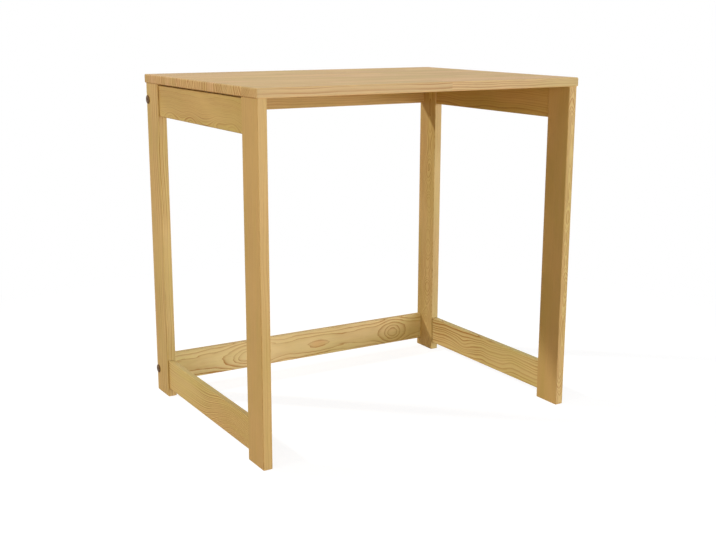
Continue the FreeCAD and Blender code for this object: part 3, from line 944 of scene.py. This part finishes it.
# The lamps: place, width, height, watts and colour
LAMPS = {
    "front_softbox": ((-0.4, -3.6, 1.0), 2.6, 1.25, 38, PLAIN),
    "front_right_softbox": ((3.4, -4.8, 0.9), 4.8, 1.8, 235, COOL),
    "front_left_softbox": ((-2.8, -2.2, 1.2), 1.6, 1.2, 17, WARM),
    "left_softbox": ((-3.0, -0.5, 2.6), 1.2, 1.2, 22, WARM),
    "overhead_softbox": ((0.0, 0.1, 3.2), 2.0, 2.0, 24, WARM),
    "far_rear_lamp": ((-8.4, 7.6, 8.2), 0.8, 0.8, 960, WARM),
}
LAMP_AIM = Vector((0.0, 0.0, 0.4))


def seen_directly(wiring):
    """1 for rays from the camera and for rays that a mirror or glass sends on, 0 for the rest."""
    path = wiring.node("LightPath")
    return path.at_least(path.other("Is Glossy Ray")).at_least(path.other("Is Transmission Ray"))


def floor_finish():
    """The camera sees the floor close to white, with the desk's shadow on it, and pure white farther
    off. The light that it sends back up is warm. From below it is clear."""
    material = bpy.data.materials.new("floor")
    wiring = Wiring(material)
    bounce = wiring.node("BsdfDiffuse", sockets={"Color": FLOOR_BOUNCE})
    shade = wiring.node("BsdfDiffuse", sockets={"Color": FLOOR_SHADE})
    glow = wiring.node("Emission", sockets={"Color": WHITE, "Strength": FLOOR_GLOW})
    near = wiring.node("AddShader", sockets={0: shade, 1: glow})
    far = wiring.node("Emission", sockets={"Color": WHITE, "Strength": 1.0})
    x, y, _ = wiring.place()
    fade = (x * x + y * y).sqrt().rise(*FLOOR_FADE)
    pale = wiring.node("MixShader", sockets={0: fade, 1: near, 2: far})
    above = wiring.node("MixShader", sockets={0: seen_directly(wiring), 1: bounce, 2: pale})
    below = wiring.node("NewGeometry").other("Backfacing")
    clear = wiring.node("BsdfTransparent")
    whole = wiring.node("MixShader", sockets={0: below, 1: above, 2: clear})
    wiring.plug(wiring.tree.nodes["Material Output"].inputs["Surface"], whole)
    return material


def add_floor():
    """A square floor under the desk."""
    half = FLOOR_SIZE / 2
    corners = [(-half, -half, 0), (half, -half, 0), (half, half, 0), (-half, half, 0)]
    mesh = bpy.data.meshes.new("floor")
    mesh.from_pydata(corners, [], [(0, 1, 2, 3)])
    mesh.materials.append(floor_finish())
    floor = bpy.data.objects.new("floor", mesh)
    bpy.context.scene.collection.objects.link(floor)


def light_world():
    """White behind the desk, and a faint even light on it."""
    world = bpy.data.worlds.new("studio")
    bpy.context.scene.world = world
    wiring = Wiring(world)
    backdrop = wiring.tree.nodes["Background"]
    wiring.plug(backdrop.inputs["Color"], WHITE)
    wiring.plug(backdrop.inputs["Strength"], seen_directly(wiring) * (1 - WORLD_LEVEL) + WORLD_LEVEL)


def add_lamp(name, place, width, height, watts, colour):
    """A flat studio lamp that shines from its place towards the desk and stays out of view."""
    light = bpy.data.lights.new(name, "AREA")
    light.shape = "RECTANGLE"
    light.size = width
    light.size_y = height
    light.energy = watts
    light.color = colour
    lamp = bpy.data.objects.new(name, light)
    lamp.location = place
    lamp.rotation_mode = "QUATERNION"
    lamp.rotation_quaternion = (LAMP_AIM - Vector(place)).to_track_quat("-Z", "Y")
    lamp.visible_camera = False
    bpy.context.scene.collection.objects.link(lamp)


def light_studio():
    """Wide lamps in front, on the left and above, and a far one behind on the left, whose light is
    nearly parallel and comes in under the top."""
    light_world()
    for name, setting in LAMPS.items():
        add_lamp(name, *setting)


def add_camera():
    """The camera at the photograph's place and angle."""
    lens = bpy.data.cameras.new("camera")
    lens.lens = CAMERA_LENS_MM
    lens.sensor_width = SENSOR_WIDTH_MM
    camera = bpy.data.objects.new("camera", lens)
    camera.location = CAMERA_PLACE
    camera.rotation_mode = "QUATERNION"
    level = (CAMERA_AIM - CAMERA_PLACE).to_track_quat("-Z", "Y")
    camera.rotation_quaternion = level @ Quaternion(Z_AXIS, CAMERA_ROLL)
    bpy.context.scene.collection.objects.link(camera)
    bpy.context.scene.camera = camera


# The desk

def dress(node, material):
    """Gives a CAD node its finish."""
    for slot in nodes[node].material_slots:
        slot.material = material


def dress_boards():
    """Pine on the top, the legs and the rails."""
    dress("table_top", panel_pine())
    for node, (axes, cut) in BOARDS.items():
        dress(node, board_pine(node, *axes, cut))


def dress_fittings():
    """Plating on the brackets and nuts, and finished screws, bolts and dowels in place of the plain
    ones."""
    steel = plated_steel()
    for node in nodes:
        if node.endswith(("_bracket", "_nut")):
            dress(node, steel)
    add_screws(steel)
    add_bolts(bronzed_steel())
    add_dowels({axis: beech(f"dowel_beech_{axis}", axis) for axis in (X, Y, Z)})


bpy.context.scene.view_settings.view_transform = "Standard"
dress_boards()
dress_fittings()
add_floor()
light_studio()
add_camera()
